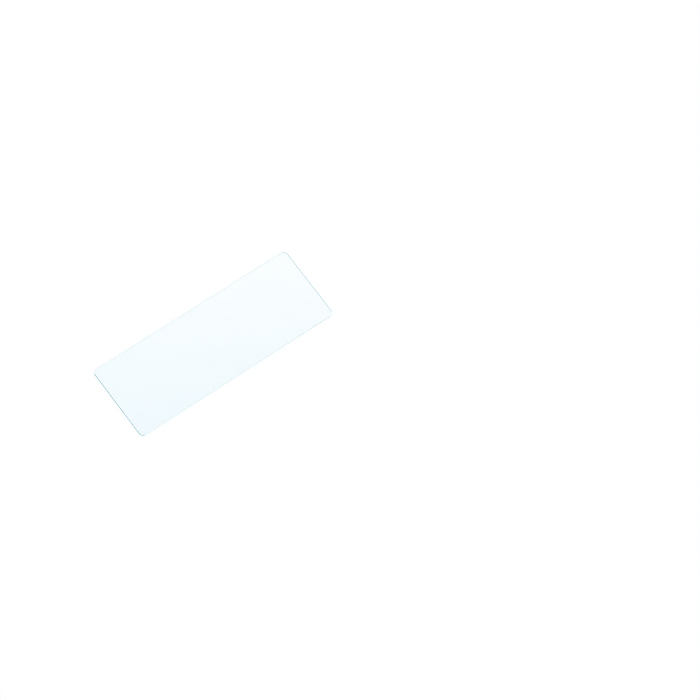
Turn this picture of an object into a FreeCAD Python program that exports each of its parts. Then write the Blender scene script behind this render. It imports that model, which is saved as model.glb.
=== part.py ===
"""Microscope slide: one plate of clear glass with ground edges and clipped corners.

The plate is cut from drawn sheet glass, its four corners are clipped at 45 degrees, and the
sharp rims left round both polished faces are ground to a narrow bevel, called the arris.
It lies flat: length along X, width along Y, underside at Z = 0, origin under its centre.
"""

import FreeCAD
import Part
import Sketcher
import os

SLIDE = "glass_slide"
PARTS_FOLDER = "parts"

# Driving dimensions in millimetres, one spreadsheet row each.
DIMENSIONS = [
    ("slide_length", 76.0, "between the two short edges, along X"),
    ("slide_width", 26.0, "between the two long edges, along Y"),
    ("glass_thickness", 1.0, "between the two polished faces, along Z"),
    ("corner_leg", 1.0, "cut back along each edge where a corner is clipped"),
    ("arris_leg", 0.2, "ground off the face, and off the edge, all round both faces"),
]


def make_sheet(doc):
    """The spreadsheet that drives the model: name, value and meaning on each row."""
    sheet = doc.addObject("Spreadsheet::Sheet", "Dimensions")
    for row, (name, value, meaning) in enumerate(DIMENSIONS, start=1):
        sheet.set(f"A{row}", name)
        sheet.set(f"B{row}", str(value))
        sheet.set(f"C{row}", meaning)
        sheet.setAlias(f"B{row}", name)
    doc.recompute()
    return sheet


def origin_plane(body, role):
    """One of the body's own origin planes, such as XY_Plane."""
    return next(feature for feature in body.Origin.OriginFeatures if feature.Role == role)


def sketch_outline(body, sheet):
    """The plate as it is cut: a rectangle centred on the body's origin."""
    sketch = body.newObject("Sketcher::SketchObject", "PlateOutline")
    sketch.AttachmentSupport = [(origin_plane(body, "XY_Plane"), "")]
    sketch.MapMode = "FlatFace"
    half_length = sheet.slide_length / 2
    half_width = sheet.slide_width / 2
    corners = [
        FreeCAD.Vector(-half_length, -half_width, 0),
        FreeCAD.Vector(half_length, -half_width, 0),
        FreeCAD.Vector(half_length, half_width, 0),
        FreeCAD.Vector(-half_length, half_width, 0),
    ]
    front, right, back, left = (
        sketch.addGeometry(Part.LineSegment(start, end), False)
        for start, end in zip(corners, corners[1:] + corners[:1])
    )
    start_point, end_point = 1, 2
    origin_point = (-1, 1)
    for edge, following in ((front, right), (right, back), (back, left), (left, front)):
        sketch.addConstraint(
            Sketcher.Constraint("Coincident", edge, end_point, following, start_point)
        )
    for edge in (front, back):
        sketch.addConstraint(Sketcher.Constraint("Horizontal", edge))
    for edge in (right, left):
        sketch.addConstraint(Sketcher.Constraint("Vertical", edge))
    sketch.addConstraint(
        Sketcher.Constraint("Symmetric", front, start_point, right, end_point, *origin_point)
    )
    length = sketch.addConstraint(
        Sketcher.Constraint("DistanceX", front, start_point, front, end_point, 2 * half_length)
    )
    width = sketch.addConstraint(
        Sketcher.Constraint("DistanceY", right, start_point, right, end_point, 2 * half_width)
    )
    sketch.setExpression(f"Constraints[{length}]", f"{sheet.Name}.slide_length")
    sketch.setExpression(f"Constraints[{width}]", f"{sheet.Name}.slide_width")
    return sketch


def pad_plate(body, sketch, sheet):
    """The cut plate at its full thickness, square at every edge and corner."""
    plate = body.newObject("PartDesign::Pad", "CutPlate")
    plate.Profile = sketch
    plate.setExpression("Length", f"{sheet.Name}.glass_thickness")
    sketch.Visibility = False
    return plate


def edge_names(feature, upright):
    """Names of the feature's edges that stand along Z, or of those that lie flat."""
    names = []
    for number, edge in enumerate(feature.Shape.Edges, start=1):
        direction = edge.tangentAt(edge.FirstParameter)
        stands = abs(direction.z) > abs(direction.x) + abs(direction.y)
        if stands == upright:
            names.append(f"Edge{number}")
    return names


def grind(body, base, name, upright, leg):
    """A 45 degree chamfer along the base feature's upright edges, or along its flat ones."""
    chamfer = body.newObject("PartDesign::Chamfer", name)
    chamfer.Base = (base, edge_names(base, upright))
    chamfer.setExpression("Size", leg)
    base.Visibility = False
    return chamfer


def make_slide(doc, sheet):
    """The slide: cut the plate, clip its corners, then grind the arris round both faces."""
    body = doc.addObject("PartDesign::Body", "GlassSlide")
    body.Label = SLIDE
    body.Placement = FreeCAD.Placement()
    sketch = sketch_outline(body, sheet)
    plate = pad_plate(body, sketch, sheet)
    doc.recompute()
    clipped = grind(body, plate, "ClippedCorners", True, f"{sheet.Name}.corner_leg")
    doc.recompute()
    ground = grind(body, clipped, "GroundArris", False, f"{sheet.Name}.arris_leg")
    body.Tip = ground
    doc.recompute()
    return body


def check(doc, bodies):
    """Stop if any object failed to rebuild, or if a body isn't one sound solid."""
    for item in doc.Objects:
        if "Invalid" in item.State or "Error" in item.State:
            raise RuntimeError(f"{item.Label} did not rebuild: {item.State}")
    for body in bodies:
        shape = body.Shape
        if shape.isNull() or not shape.isValid() or len(shape.Solids) != 1:
            raise RuntimeError(f"{body.Label} is not one valid solid")


def write_parts(bodies):
    """Each body to its own STEP file, named after the body's label."""
    os.makedirs(PARTS_FOLDER, exist_ok=True)
    for body in bodies:
        body.Shape.exportStep(os.path.join(PARTS_FOLDER, f"{body.Label}.step"))


document = FreeCAD.newDocument("MicroscopeSlide")
dimensions = make_sheet(document)
slide = make_slide(document, dimensions)
check(document, [slide])
write_parts([slide])
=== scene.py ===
import math

import bpy
from mathutils import Matrix, Vector


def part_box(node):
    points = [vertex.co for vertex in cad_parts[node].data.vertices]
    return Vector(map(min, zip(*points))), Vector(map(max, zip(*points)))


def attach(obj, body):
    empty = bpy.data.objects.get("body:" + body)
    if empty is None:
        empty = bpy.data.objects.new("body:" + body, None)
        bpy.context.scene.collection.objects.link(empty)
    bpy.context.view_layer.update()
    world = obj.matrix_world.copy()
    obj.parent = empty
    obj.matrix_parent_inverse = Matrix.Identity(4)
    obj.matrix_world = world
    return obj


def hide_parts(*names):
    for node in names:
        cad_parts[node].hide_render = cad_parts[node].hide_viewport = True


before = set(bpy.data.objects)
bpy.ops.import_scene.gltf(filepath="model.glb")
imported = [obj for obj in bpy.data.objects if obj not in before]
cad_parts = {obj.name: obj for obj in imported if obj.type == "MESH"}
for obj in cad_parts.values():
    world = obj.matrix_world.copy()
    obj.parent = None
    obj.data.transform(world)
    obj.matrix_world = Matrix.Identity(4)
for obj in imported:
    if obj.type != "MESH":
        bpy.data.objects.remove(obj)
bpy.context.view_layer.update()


# ---- Glass slide ---------------------------------------------------------------------------
# One plate of drawn soda-lime glass. Both faces keep the polish of the draw. The four corners
# are clipped at 45 degrees, then the whole rim is ground satin: the wall, and the narrow bevel,
# called the arris, that takes the sharpness off both faces' edges and mitres at each corner.

# Sizes are in metres.
SLIDE = "glass_slide"
low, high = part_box(SLIDE)
SLIDE_LENGTH = high[0] - low[0]
SLIDE_WIDTH = high[1] - low[1]
GLASS_THICKNESS = high[2] - low[2]
CORNER_LEG = 0.001
ARRIS_LEG = 0.0002
GRINDING_STEP = 0.00025
ARRIS_WANDER = 0.16
WANDER_SPAN = 0.0035
# The wander's noise is cut at another place for each of the rim's four lines.
LINE_SLICE = 3.7
FACE_SLICE = 11.3
GRINDING_SEED = 7.0
TURN_AT_CORNER = math.radians(45)
SAME_PLACE = 0.000001
LEAST_LEAN = 0.000001
GLASS_IOR = 1.52
TINT_PER_METRE = 35.0
GLASS_TINT = (0.5, 0.88, 0.92, 1.0)
GROUND_ROUGHNESS = (0.03, 0.08)
SCRATCH_SPACING = 0.00006
SCRATCH_STRETCH = 0.03
SCRATCH_DEPTH = 0.000003
SCRATCH_RANGE = (0.3, 0.7)
FROST_GRAIN = 0.00003
FROST_DEPTH = 0.0000004
FACE_TINT = (0.94, 0.98, 0.998, 1.0)
RIM_TINT = (0.97, 0.99, 0.99, 1.0)
END_TINT = (0.23, 0.64, 0.69, 1.0)
END_TINT_GROWTH = 1.5
RIPPLE_SPAN = 0.009
RIPPLE_DEPTH = 0.0000008
HAZE_SPAN = 0.006
HAZE_RANGE = (0.45, 0.75)
HAZE_ROUGHNESS = 0.012
# Where a drop of rinsing water has dried on the top face, and how much it left there.
DRIED_SPOTS = ((-0.0349, -0.0067, 1.0), (0.0083, 0.0114, 0.5))
SPOT_RADIUS = 0.0006
SPOT_RAGGEDNESS = 0.0003
SPOT_TINT = (0.81, 0.92, 0.97, 1.0)
SPOT_ROUGHNESS = 0.08


def add_node(tree, kind, inputs=None, **settings):
    """A node with its settings made, and each named or numbered input linked or set."""
    node = tree.nodes.new(kind)
    for name, setting in settings.items():
        setattr(node, name, setting)
    for key, value in (inputs or {}).items():
        if isinstance(value, bpy.types.NodeSocket):
            tree.links.new(value, node.inputs[key])
        else:
            node.inputs[key].default_value = value
    return node


def calculate(tree, operation, *values):
    """The result of one sum on numbers."""
    return add_node(tree, "ShaderNodeMath", dict(enumerate(values)), operation=operation).outputs[0]


def calculate_vector(tree, operation, *values):
    """The result of one sum on vectors: a vector, or a number where the sum gives one."""
    node = add_node(tree, "ShaderNodeVectorMath", dict(enumerate(values)), operation=operation)
    gives_number = operation in ("DISTANCE", "DOT_PRODUCT", "LENGTH")
    return node.outputs["Value" if gives_number else "Vector"]


def scale_vector(tree, vector, amount):
    """A vector made longer or shorter by an amount."""
    node = add_node(
        tree, "ShaderNodeVectorMath", {"Vector": vector, "Scale": amount}, operation="SCALE"
    )
    return node.outputs["Vector"]


def outline_curve(tree, sizes):
    """The plate's outline, flat at Z = 0: a rectangle, its corners clipped, in short steps."""
    rectangle = add_node(
        tree,
        "GeometryNodeCurvePrimitiveQuadrilateral",
        {"Width": sizes["Length"], "Height": sizes["Width"]},
    )
    clipped = add_node(
        tree,
        "GeometryNodeFilletCurve",
        {"Curve": rectangle.outputs[0], "Count": 1, "Radius": sizes["Corner leg"]},
        mode="POLY",
    )
    # Each straight run is cut into steps of the same length, as near as its own length allows.
    here = add_node(tree, "GeometryNodeInputPosition").outputs[0]
    point = add_node(tree, "GeometryNodeInputIndex").outputs[0]
    following = add_node(tree, "GeometryNodeOffsetPointInCurve", {"Point Index": point, "Offset": 1})
    there = add_node(
        tree,
        "GeometryNodeFieldAtIndex",
        {"Value": here, "Index": following.outputs["Point Index"]},
        data_type="FLOAT_VECTOR",
    )
    run = calculate_vector(tree, "SUBTRACT", there.outputs[0], here)
    cuts = calculate(tree, "DIVIDE", calculate_vector(tree, "LENGTH", run), sizes["Step"])
    stepped = add_node(
        tree, "GeometryNodeSubdivideCurve", {"Curve": clipped.outputs[0], "Cuts": cuts}
    )
    return add_node(
        tree, "GeometryNodeSetCurveNormal", {"Curve": stepped.outputs[0]}, mode="Z_UP"
    ).outputs[0]


def rim_section(tree, sizes):
    """The rim's section, swept upright: underside, lower arris, wall, upper arris, top."""
    thickness, leg = sizes["Thickness"], sizes["Arris leg"]
    heights = (0.0, leg, calculate(tree, "SUBTRACT", thickness, leg), thickness)
    points = {}
    for number, height in enumerate(heights, start=1):
        # A sweep along a level curve turns its section's own Y downwards.
        drop = calculate(tree, "MULTIPLY", height, -1.0)
        points[f"Point {number}"] = add_node(tree, "ShaderNodeCombineXYZ", {"Y": drop}).outputs[0]
    line = add_node(tree, "GeometryNodeCurvePrimitiveQuadrilateral", points, mode="POINTS")
    return add_node(
        tree, "GeometryNodeSetSplineCyclic", {"Geometry": line.outputs[0], "Cyclic": False}
    ).outputs[0]


def outward(tree):
    """On the outline, the level direction away from the glass, as long as a mitre needs."""
    normal = add_node(tree, "GeometryNodeInputNormal").outputs[0]
    here = add_node(tree, "GeometryNodeInputPosition").outputs[0]
    side = calculate(tree, "SIGN", calculate_vector(tree, "DOT_PRODUCT", normal, here))
    parts = add_node(tree, "ShaderNodeSeparateXYZ", {0: calculate_vector(tree, "ABSOLUTE", normal)})
    square = calculate(tree, "MAXIMUM", parts.outputs["X"], parts.outputs["Y"])
    diagonal = calculate(
        tree,
        "MULTIPLY",
        calculate(tree, "ADD", parts.outputs["X"], parts.outputs["Y"]),
        math.cos(TURN_AT_CORNER),
    )
    shortening = calculate(tree, "MAXIMUM", square, diagonal)
    return scale_vector(tree, normal, calculate(tree, "DIVIDE", side, shortening))


def glass_behind(tree, sizes, facing):
    """How far the plate goes on behind a face of the rim, straight in."""
    # A node that divides by nothing gives 0, so a face square to an axis keeps a least lean.
    parts = add_node(tree, "ShaderNodeSeparateXYZ", {0: calculate_vector(tree, "ABSOLUTE", facing)})
    spans = []
    for axis, size in (("X", sizes["Length"]), ("Y", sizes["Width"]), ("Z", sizes["Thickness"])):
        lean = calculate(tree, "MAXIMUM", parts.outputs[axis], LEAST_LEAN)
        spans.append(calculate(tree, "DIVIDE", size, lean))
    nearest = calculate(tree, "MINIMUM", spans[0], spans[1])
    return calculate(tree, "MINIMUM", nearest, spans[2])


def point_height(tree):
    """Each point's height above the underside."""
    here = add_node(tree, "GeometryNodeInputPosition").outputs[0]
    return add_node(tree, "ShaderNodeSeparateXYZ", {0: here}).outputs["Z"]


def arris_shift(tree, sizes, out):
    """Where the arris takes each line of the upright sweep: a face's in, a wall's up or down.

    Grinding leaves the arris a little wider here and narrower there, never proud of the plate.
    """
    half = calculate(tree, "MULTIPLY", sizes["Thickness"], 0.5)
    half_leg = calculate(tree, "MULTIPLY", sizes["Arris leg"], 0.5)
    above_middle = calculate(tree, "SUBTRACT", point_height(tree), half)
    upper = calculate(tree, "SIGN", above_middle)
    on_face = calculate(
        tree,
        "GREATER_THAN",
        calculate(tree, "ABSOLUTE", above_middle),
        calculate(tree, "SUBTRACT", half, half_leg),
    )
    face_slice = calculate(tree, "MULTIPLY", upper, FACE_SLICE)
    slice_of_line = calculate(tree, "MULTIPLY_ADD", on_face, LINE_SLICE, face_slice)
    wander = add_node(
        tree,
        "ShaderNodeTexNoise",
        {
            "Vector": add_node(tree, "GeometryNodeInputPosition").outputs[0],
            "W": calculate(tree, "ADD", slice_of_line, sizes["Seed"]),
            "Scale": calculate(tree, "DIVIDE", 1.0, sizes["Wander span"]),
            "Detail": 2.0,
        },
        noise_dimensions="4D",
    )
    either_way = calculate(tree, "MULTIPLY_ADD", wander.outputs["Fac"], 2.0, -1.0)
    swing = calculate(tree, "MULTIPLY", either_way, sizes["Arris wander"])
    stray = calculate(tree, "MULTIPLY", swing, sizes["Arris leg"])
    leg = calculate(tree, "ADD", sizes["Arris leg"], stray)
    inwards = scale_vector(tree, out, calculate(tree, "MULTIPLY", leg, -1.0))
    to_middle = calculate(tree, "MULTIPLY", calculate(tree, "MULTIPLY", stray, upper), -1.0)
    along_wall = add_node(tree, "ShaderNodeCombineXYZ", {"Z": to_middle}).outputs[0]
    return add_node(
        tree,
        "GeometryNodeSwitch",
        {"Switch": on_face, "False": along_wall, "True": inwards},
        input_type="VECTOR",
    ).outputs[0]


def ground_rim(tree, sizes):
    """The rim: its section swept upright along the outline, then bevelled by the arris."""
    # The sweep loses the outline's own directions, so each point remembers which way is out.
    marked = tree.nodes.new("GeometryNodeCaptureAttribute")
    marked.capture_items.new("VECTOR", "out")
    tree.links.new(outline_curve(tree, sizes), marked.inputs["Geometry"])
    tree.links.new(outward(tree), marked.inputs["out"])
    swept = add_node(
        tree,
        "GeometryNodeCurveToMesh",
        {"Curve": marked.outputs["Geometry"], "Profile Curve": rim_section(tree, sizes)},
    )
    shift = arris_shift(tree, sizes, marked.outputs["out"])
    bevelled = add_node(
        tree, "GeometryNodeSetPosition", {"Geometry": swept.outputs[0], "Offset": shift}
    )
    return add_node(tree, "GeometryNodeFlipFaces", {"Mesh": bevelled.outputs[0]}).outputs[0]


def polished_faces(tree, sizes, rim):
    """The top face and the underside: each fills the rim's own edge line, point for point."""
    height = point_height(tree)
    just_under_top = calculate(tree, "SUBTRACT", sizes["Thickness"], SAME_PLACE)
    is_top = calculate(tree, "GREATER_THAN", height, just_under_top)
    is_underside = calculate(tree, "LESS_THAN", height, SAME_PLACE)
    faces = []
    for selection, level in ((is_top, sizes["Thickness"]), (is_underside, 0.0)):
        line = add_node(tree, "GeometryNodeMeshToCurve", {"Mesh": rim, "Selection": selection})
        sheet = add_node(tree, "GeometryNodeFillCurve", {"Curve": line.outputs[0]}, mode="NGONS")
        lift = add_node(tree, "ShaderNodeCombineXYZ", {"Z": level})
        face = add_node(
            tree,
            "GeometryNodeTransform",
            {"Geometry": sheet.outputs[0], "Translation": lift.outputs[0]},
        )
        faces.append(face.outputs[0])
    top, underside = faces
    return top, add_node(tree, "GeometryNodeFlipFaces", {"Mesh": underside}).outputs[0]


def mark_ground(tree, sizes, rim):
    """The rim with each of its faces marked as ground.

    Each also keeps the level way that the stone ran along it, and how much glass is behind it.
    """
    facing = add_node(tree, "GeometryNodeInputNormal").outputs["True Normal"]
    level_way = calculate_vector(tree, "CROSS_PRODUCT", (0.0, 0.0, 1.0), facing)
    marks = (
        ("stone_path", "FLOAT_VECTOR", calculate_vector(tree, "NORMALIZE", level_way)),
        ("glass_behind", "FLOAT", glass_behind(tree, sizes, facing)),
        ("ground", "FLOAT", 1.0),
    )
    for name, kind, value in marks:
        rim = add_node(
            tree,
            "GeometryNodeStoreNamedAttribute",
            {"Geometry": rim, "Name": name, "Value": value},
            domain="FACE",
            data_type=kind,
        ).outputs[0]
    return rim


def slide_tree():
    """Geometry Nodes that make the slide from its sizes: the ground rim, then the two faces."""
    tree = bpy.data.node_groups.new("ground_edge_slide", "GeometryNodeTree")
    for name in ("Length", "Width", "Thickness", "Corner leg", "Arris leg", "Step",
                 "Arris wander", "Wander span", "Seed"):
        tree.interface.new_socket(name, in_out="INPUT", socket_type="NodeSocketFloat")
    tree.interface.new_socket("Glass", in_out="INPUT", socket_type="NodeSocketMaterial")
    tree.interface.new_socket("Slide", in_out="OUTPUT", socket_type="NodeSocketGeometry")
    sizes = add_node(tree, "NodeGroupInput").outputs
    rim = ground_rim(tree, sizes)
    top, underside = polished_faces(tree, sizes, rim)
    whole = tree.nodes.new("GeometryNodeJoinGeometry")
    for part in (underside, top, mark_ground(tree, sizes, rim)):
        tree.links.new(part, whole.inputs[0])
    closed = add_node(
        tree,
        "GeometryNodeMergeByDistance",
        {"Geometry": whole.outputs[0], "Distance": SAME_PLACE},
    )
    real = add_node(tree, "GeometryNodeRealizeInstances", {"Geometry": closed.outputs[0]})
    glazed = add_node(
        tree,
        "GeometryNodeSetMaterial",
        {"Geometry": real.outputs[0], "Material": sizes["Glass"]},
    )
    add_node(tree, "NodeGroupOutput", {"Slide": glazed.outputs[0]})
    return tree


def noise(tree, place, span, **details):
    """A cloudy pattern with features about a span across: its outputs, a number and a colour."""
    return add_node(tree, "ShaderNodeTexNoise", {"Vector": place, "Scale": 1 / span, **details}).outputs


def mix_colour(tree, share, first, second):
    """All of the first colour at a share of 0, all of the second at 1."""
    node = add_node(tree, "ShaderNodeMix", {"Factor": share, 6: first, 7: second}, data_type="RGBA")
    return node.outputs[2]


def dried_spots(tree, place):
    """How much a dried drop has left here on the top face, from 0 to 1."""
    ragged = noise(tree, place, SPOT_RAGGEDNESS, Detail=2.0)["Color"]
    strayed = calculate_vector(tree, "MULTIPLY_ADD", ragged, (SPOT_RAGGEDNESS,) * 3, place)
    # The noise moves a place by half the raggedness on average, and the centres move with it.
    shift = SPOT_RAGGEDNESS / 2
    left_here = 0.0
    for x, y, share in DRIED_SPOTS:
        centre = (x + shift, y + shift, GLASS_THICKNESS + shift)
        spot = add_node(
            tree,
            "ShaderNodeMapRange",
            {
                "Value": calculate_vector(tree, "DISTANCE", strayed, centre),
                "From Min": SPOT_RADIUS,
                "From Max": 0.0,
                "To Max": share,
            },
            interpolation_type="SMOOTHSTEP",
        ).outputs[0]
        left_here = calculate(tree, "MAXIMUM", left_here, spot)
    return left_here


def clear_glass():
    """Soda-lime glass: polished faces, a satin ground rim, and a tint that grows with depth."""
    glass = bpy.data.materials.new("clear_glass")
    glass.use_nodes = True
    tree = glass.node_tree
    tree.nodes.clear()
    place = add_node(tree, "ShaderNodeTexCoord").outputs["Object"]
    ground = add_node(tree, "ShaderNodeAttribute", attribute_name="ground").outputs["Fac"]
    stone_path = add_node(tree, "ShaderNodeAttribute", attribute_name="stone_path").outputs["Vector"]
    behind = add_node(tree, "ShaderNodeAttribute", attribute_name="glass_behind").outputs["Fac"]

    # The stone leaves fine scratches that run along the rim, over a frosted grain.
    run = scale_vector(
        tree, stone_path, calculate_vector(tree, "DOT_PRODUCT", place, stone_path)
    )
    across = calculate_vector(tree, "SUBTRACT", place, run)
    stretched = calculate_vector(tree, "MULTIPLY_ADD", run, (SCRATCH_STRETCH,) * 3, across)
    scratches = noise(tree, stretched, SCRATCH_SPACING, Detail=2.0, Roughness=0.6)["Fac"]
    frost = noise(tree, place, FROST_GRAIN, Detail=1.0)["Fac"]
    frost_relief = calculate(tree, "MULTIPLY", frost, FROST_DEPTH)
    ground_relief = calculate(tree, "MULTIPLY_ADD", scratches, SCRATCH_DEPTH, frost_relief)
    ground_finish = add_node(
        tree,
        "ShaderNodeMapRange",
        {
            "Value": scratches,
            "From Min": SCRATCH_RANGE[0],
            "From Max": SCRATCH_RANGE[1],
            "To Min": GROUND_ROUGHNESS[0],
            "To Max": GROUND_ROUGHNESS[1],
        },
    ).outputs[0]

    # The draw leaves the faces a very slow ripple, and wiping leaves them a faint haze.
    ripple = noise(tree, place, RIPPLE_SPAN, Detail=0.0)["Fac"]
    polished_relief = calculate(tree, "MULTIPLY", ripple, RIPPLE_DEPTH)
    haze = noise(tree, place, HAZE_SPAN, Detail=3.0, Distortion=0.6)["Fac"]
    wiped_finish = add_node(
        tree,
        "ShaderNodeMapRange",
        {
            "Value": haze,
            "From Min": HAZE_RANGE[0],
            "From Max": HAZE_RANGE[1],
            "To Max": HAZE_ROUGHNESS,
        },
    ).outputs[0]
    spots = dried_spots(tree, place)
    polished_finish = calculate(tree, "MULTIPLY_ADD", spots, SPOT_ROUGHNESS, wiped_finish)
    face_colour = mix_colour(tree, spots, FACE_TINT, SPOT_TINT)

    # A rim face shows the glass it looks into endwise: deepest where the plate is longest.
    share = calculate(tree, "DIVIDE", behind, SLIDE_LENGTH)
    depth = calculate(tree, "POWER", share, END_TINT_GROWTH)
    rim_colour = mix_colour(tree, depth, RIM_TINT, END_TINT)

    # One skin carries both finishes, and the rim's mark tells them apart.
    relief = add_node(
        tree, "ShaderNodeMix", {"Factor": ground, "A": polished_relief, "B": ground_relief}
    ).outputs[0]
    finish = add_node(
        tree, "ShaderNodeMix", {"Factor": ground, "A": polished_finish, "B": ground_finish}
    ).outputs[0]
    bump = add_node(tree, "ShaderNodeBump", {"Height": relief, "Distance": 1.0, "Strength": 1.0})
    surface = add_node(
        tree,
        "ShaderNodeBsdfPrincipled",
        {
            "Base Color": mix_colour(tree, ground, face_colour, rim_colour),
            "Transmission Weight": 1.0,
            "IOR": GLASS_IOR,
            "Roughness": finish,
            "Normal": bump.outputs[0],
        },
    )
    depth_tint = add_node(
        tree,
        "ShaderNodeVolumeAbsorption",
        {"Color": GLASS_TINT, "Density": TINT_PER_METRE},
    )
    add_node(
        tree,
        "ShaderNodeOutputMaterial",
        {"Surface": surface.outputs[0], "Volume": depth_tint.outputs[0]},
    )
    return glass


glass = clear_glass()
slide = bpy.data.objects.new("ground_edge_slide", bpy.data.meshes.new("ground_edge_slide"))
bpy.context.scene.collection.objects.link(slide)
maker = slide.modifiers.new("make_slide", "NODES")
maker.node_group = slide_tree()
slide_sizes = {
    "Length": SLIDE_LENGTH,
    "Width": SLIDE_WIDTH,
    "Thickness": GLASS_THICKNESS,
    "Corner leg": CORNER_LEG,
    "Arris leg": ARRIS_LEG,
    "Step": GRINDING_STEP,
    "Arris wander": ARRIS_WANDER,
    "Wander span": WANDER_SPAN,
    "Seed": GRINDING_SEED,
    "Glass": glass,
}
for socket in maker.node_group.interface.items_tree:
    if socket.in_out == "INPUT":
        maker[socket.identifier] = slide_sizes[socket.name]
made = slide.evaluated_get(bpy.context.evaluated_depsgraph_get())
slide_mesh = bpy.data.meshes.new_from_object(made)
slide_mesh.name = "ground_edge_slide"
slide.modifiers.remove(maker)
slide.data = slide_mesh
slide.data.materials.clear()
slide.data.materials.append(glass)
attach(slide, "root")
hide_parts(SLIDE)


# ---- Table top ------------------------------------------------------------------------------
# A plain matt white top that the slide lies on. It meets a white surround with no visible edge,
# and keeps the slide's own soft shadow.

TABLE_HALF_SIDE = 4.0
AIR_FILM = 0.00005
TABLE_WHITE = 0.1
SURROUND_WHITE = 0.9


def light_seen_directly(tree):
    """1 for what is looked at, straight or by way of glass or gloss, and 0 for stray light."""
    path = add_node(tree, "ShaderNodeLightPath").outputs
    by_gloss = calculate(tree, "MAXIMUM", path["Is Camera Ray"], path["Is Glossy Ray"])
    return calculate(tree, "MAXIMUM", by_gloss, path["Is Transmission Ray"])


def matt_white():
    """A matt white that shades softly, lifted to the white of what surrounds it."""
    white = bpy.data.materials.new("matt_white")
    white.use_nodes = True
    tree = white.node_tree
    tree.nodes.clear()
    paint = add_node(
        tree, "ShaderNodeBsdfDiffuse", {"Color": (TABLE_WHITE, TABLE_WHITE, TABLE_WHITE, 1.0)}
    )
    glow = calculate(tree, "MULTIPLY", light_seen_directly(tree), SURROUND_WHITE)
    lift = add_node(tree, "ShaderNodeEmission", {"Color": (1.0, 1.0, 1.0, 1.0), "Strength": glow})
    both = add_node(tree, "ShaderNodeAddShader", {0: paint.outputs[0], 1: lift.outputs[0]})
    add_node(tree, "ShaderNodeOutputMaterial", {"Surface": both.outputs[0]})
    return white


top_level = low[2] - AIR_FILM
table_mesh = bpy.data.meshes.new("table_top")
table_mesh.from_pydata(
    [
        (-TABLE_HALF_SIDE, -TABLE_HALF_SIDE, top_level),
        (TABLE_HALF_SIDE, -TABLE_HALF_SIDE, top_level),
        (TABLE_HALF_SIDE, TABLE_HALF_SIDE, top_level),
        (-TABLE_HALF_SIDE, TABLE_HALF_SIDE, top_level),
    ],
    [],
    [(0, 1, 2, 3)],
)
table_mesh.materials.append(matt_white())
table = bpy.data.objects.new("table_top", table_mesh)
bpy.context.scene.collection.objects.link(table)


# ---- Studio light ---------------------------------------------------------------------------
# A white light tent all round, at the level at which a colour shows as it is. High in it hang
# a pale blue card and a warm soft light, side by side: glass shows the blend between them.

TENT_WHITE = (1.0, 1.0, 1.0, 1.0)
BLUE_CARD = (0.12, 0.57, 0.92, 1.0)
SOFT_LIGHT = (1.66, 1.26, 1.06, 1.0)
PANEL_CENTRE = Vector((0.355, 0.218, 0.909)).normalized()
PANEL_ACROSS = Vector((0.505, 0.863, 0.0)).normalized()
BLEND_HALF_WIDTH = 0.045
PANEL_INNER_ANGLE = math.radians(4)
PANEL_OUTER_ANGLE = math.radians(10)

studio = bpy.data.worlds.new("light_tent")
studio.use_nodes = True
tree = studio.node_tree
tree.nodes.clear()
facing = add_node(tree, "ShaderNodeTexCoord").outputs["Generated"]
middle = PANEL_CENTRE.dot(PANEL_ACROSS)
blend = add_node(
    tree,
    "ShaderNodeMapRange",
    {
        "Value": calculate_vector(tree, "DOT_PRODUCT", facing, PANEL_ACROSS),
        "From Min": middle - BLEND_HALF_WIDTH,
        "From Max": middle + BLEND_HALF_WIDTH,
    },
    interpolation_type="SMOOTHSTEP",
).outputs[0]
panel = mix_colour(tree, blend, BLUE_CARD, SOFT_LIGHT)
within = add_node(
    tree,
    "ShaderNodeMapRange",
    {
        "Value": calculate_vector(tree, "DOT_PRODUCT", facing, PANEL_CENTRE),
        "From Min": math.cos(PANEL_OUTER_ANGLE),
        "From Max": math.cos(PANEL_INNER_ANGLE),
    },
    interpolation_type="SMOOTHSTEP",
).outputs[0]
tent = mix_colour(tree, within, TENT_WHITE, panel)
light = add_node(tree, "ShaderNodeBackground", {"Color": tent, "Strength": 1.0})
add_node(tree, "ShaderNodeOutputWorld", {"Surface": light.outputs[0]})
bpy.context.scene.world = studio


# ---- Camera ---------------------------------------------------------------------------------
# A long lens about a metre away looks down on the slide across one long and one short edge.

CAMERA_PLACE = Vector((-0.36588, -0.22486, 0.93645))
CAMERA_AIM = Vector((0.03503, -0.0255, 0.0))
CAMERA_ROLL = math.radians(28.144)
LENS = 169.45
SENSOR = 36.0
MOST_BOUNCES = 128

lens = bpy.data.cameras.new("studio_camera")
lens.lens = LENS
lens.sensor_width = SENSOR
lens.clip_start = 0.01
lens.clip_end = 20.0
camera = bpy.data.objects.new("studio_camera", lens)
aim = (CAMERA_AIM - CAMERA_PLACE).to_track_quat("-Z", "Y").to_matrix().to_4x4()
camera.matrix_world = (
    Matrix.Translation(CAMERA_PLACE) @ aim @ Matrix.Rotation(CAMERA_ROLL, 4, "Z")
)
scene = bpy.context.scene
scene.collection.objects.link(camera)
scene.camera = camera
scene.view_settings.view_transform = "Standard"
# Light caught between the faces is turned back some sixty times before it leaves at a far edge.
scene.cycles.max_bounces = MOST_BOUNCES
scene.cycles.glossy_bounces = MOST_BOUNCES
scene.cycles.transmission_bounces = MOST_BOUNCES
scene.cycles.blur_glossy = 0.0
scene.cycles.filter_width = 1.0
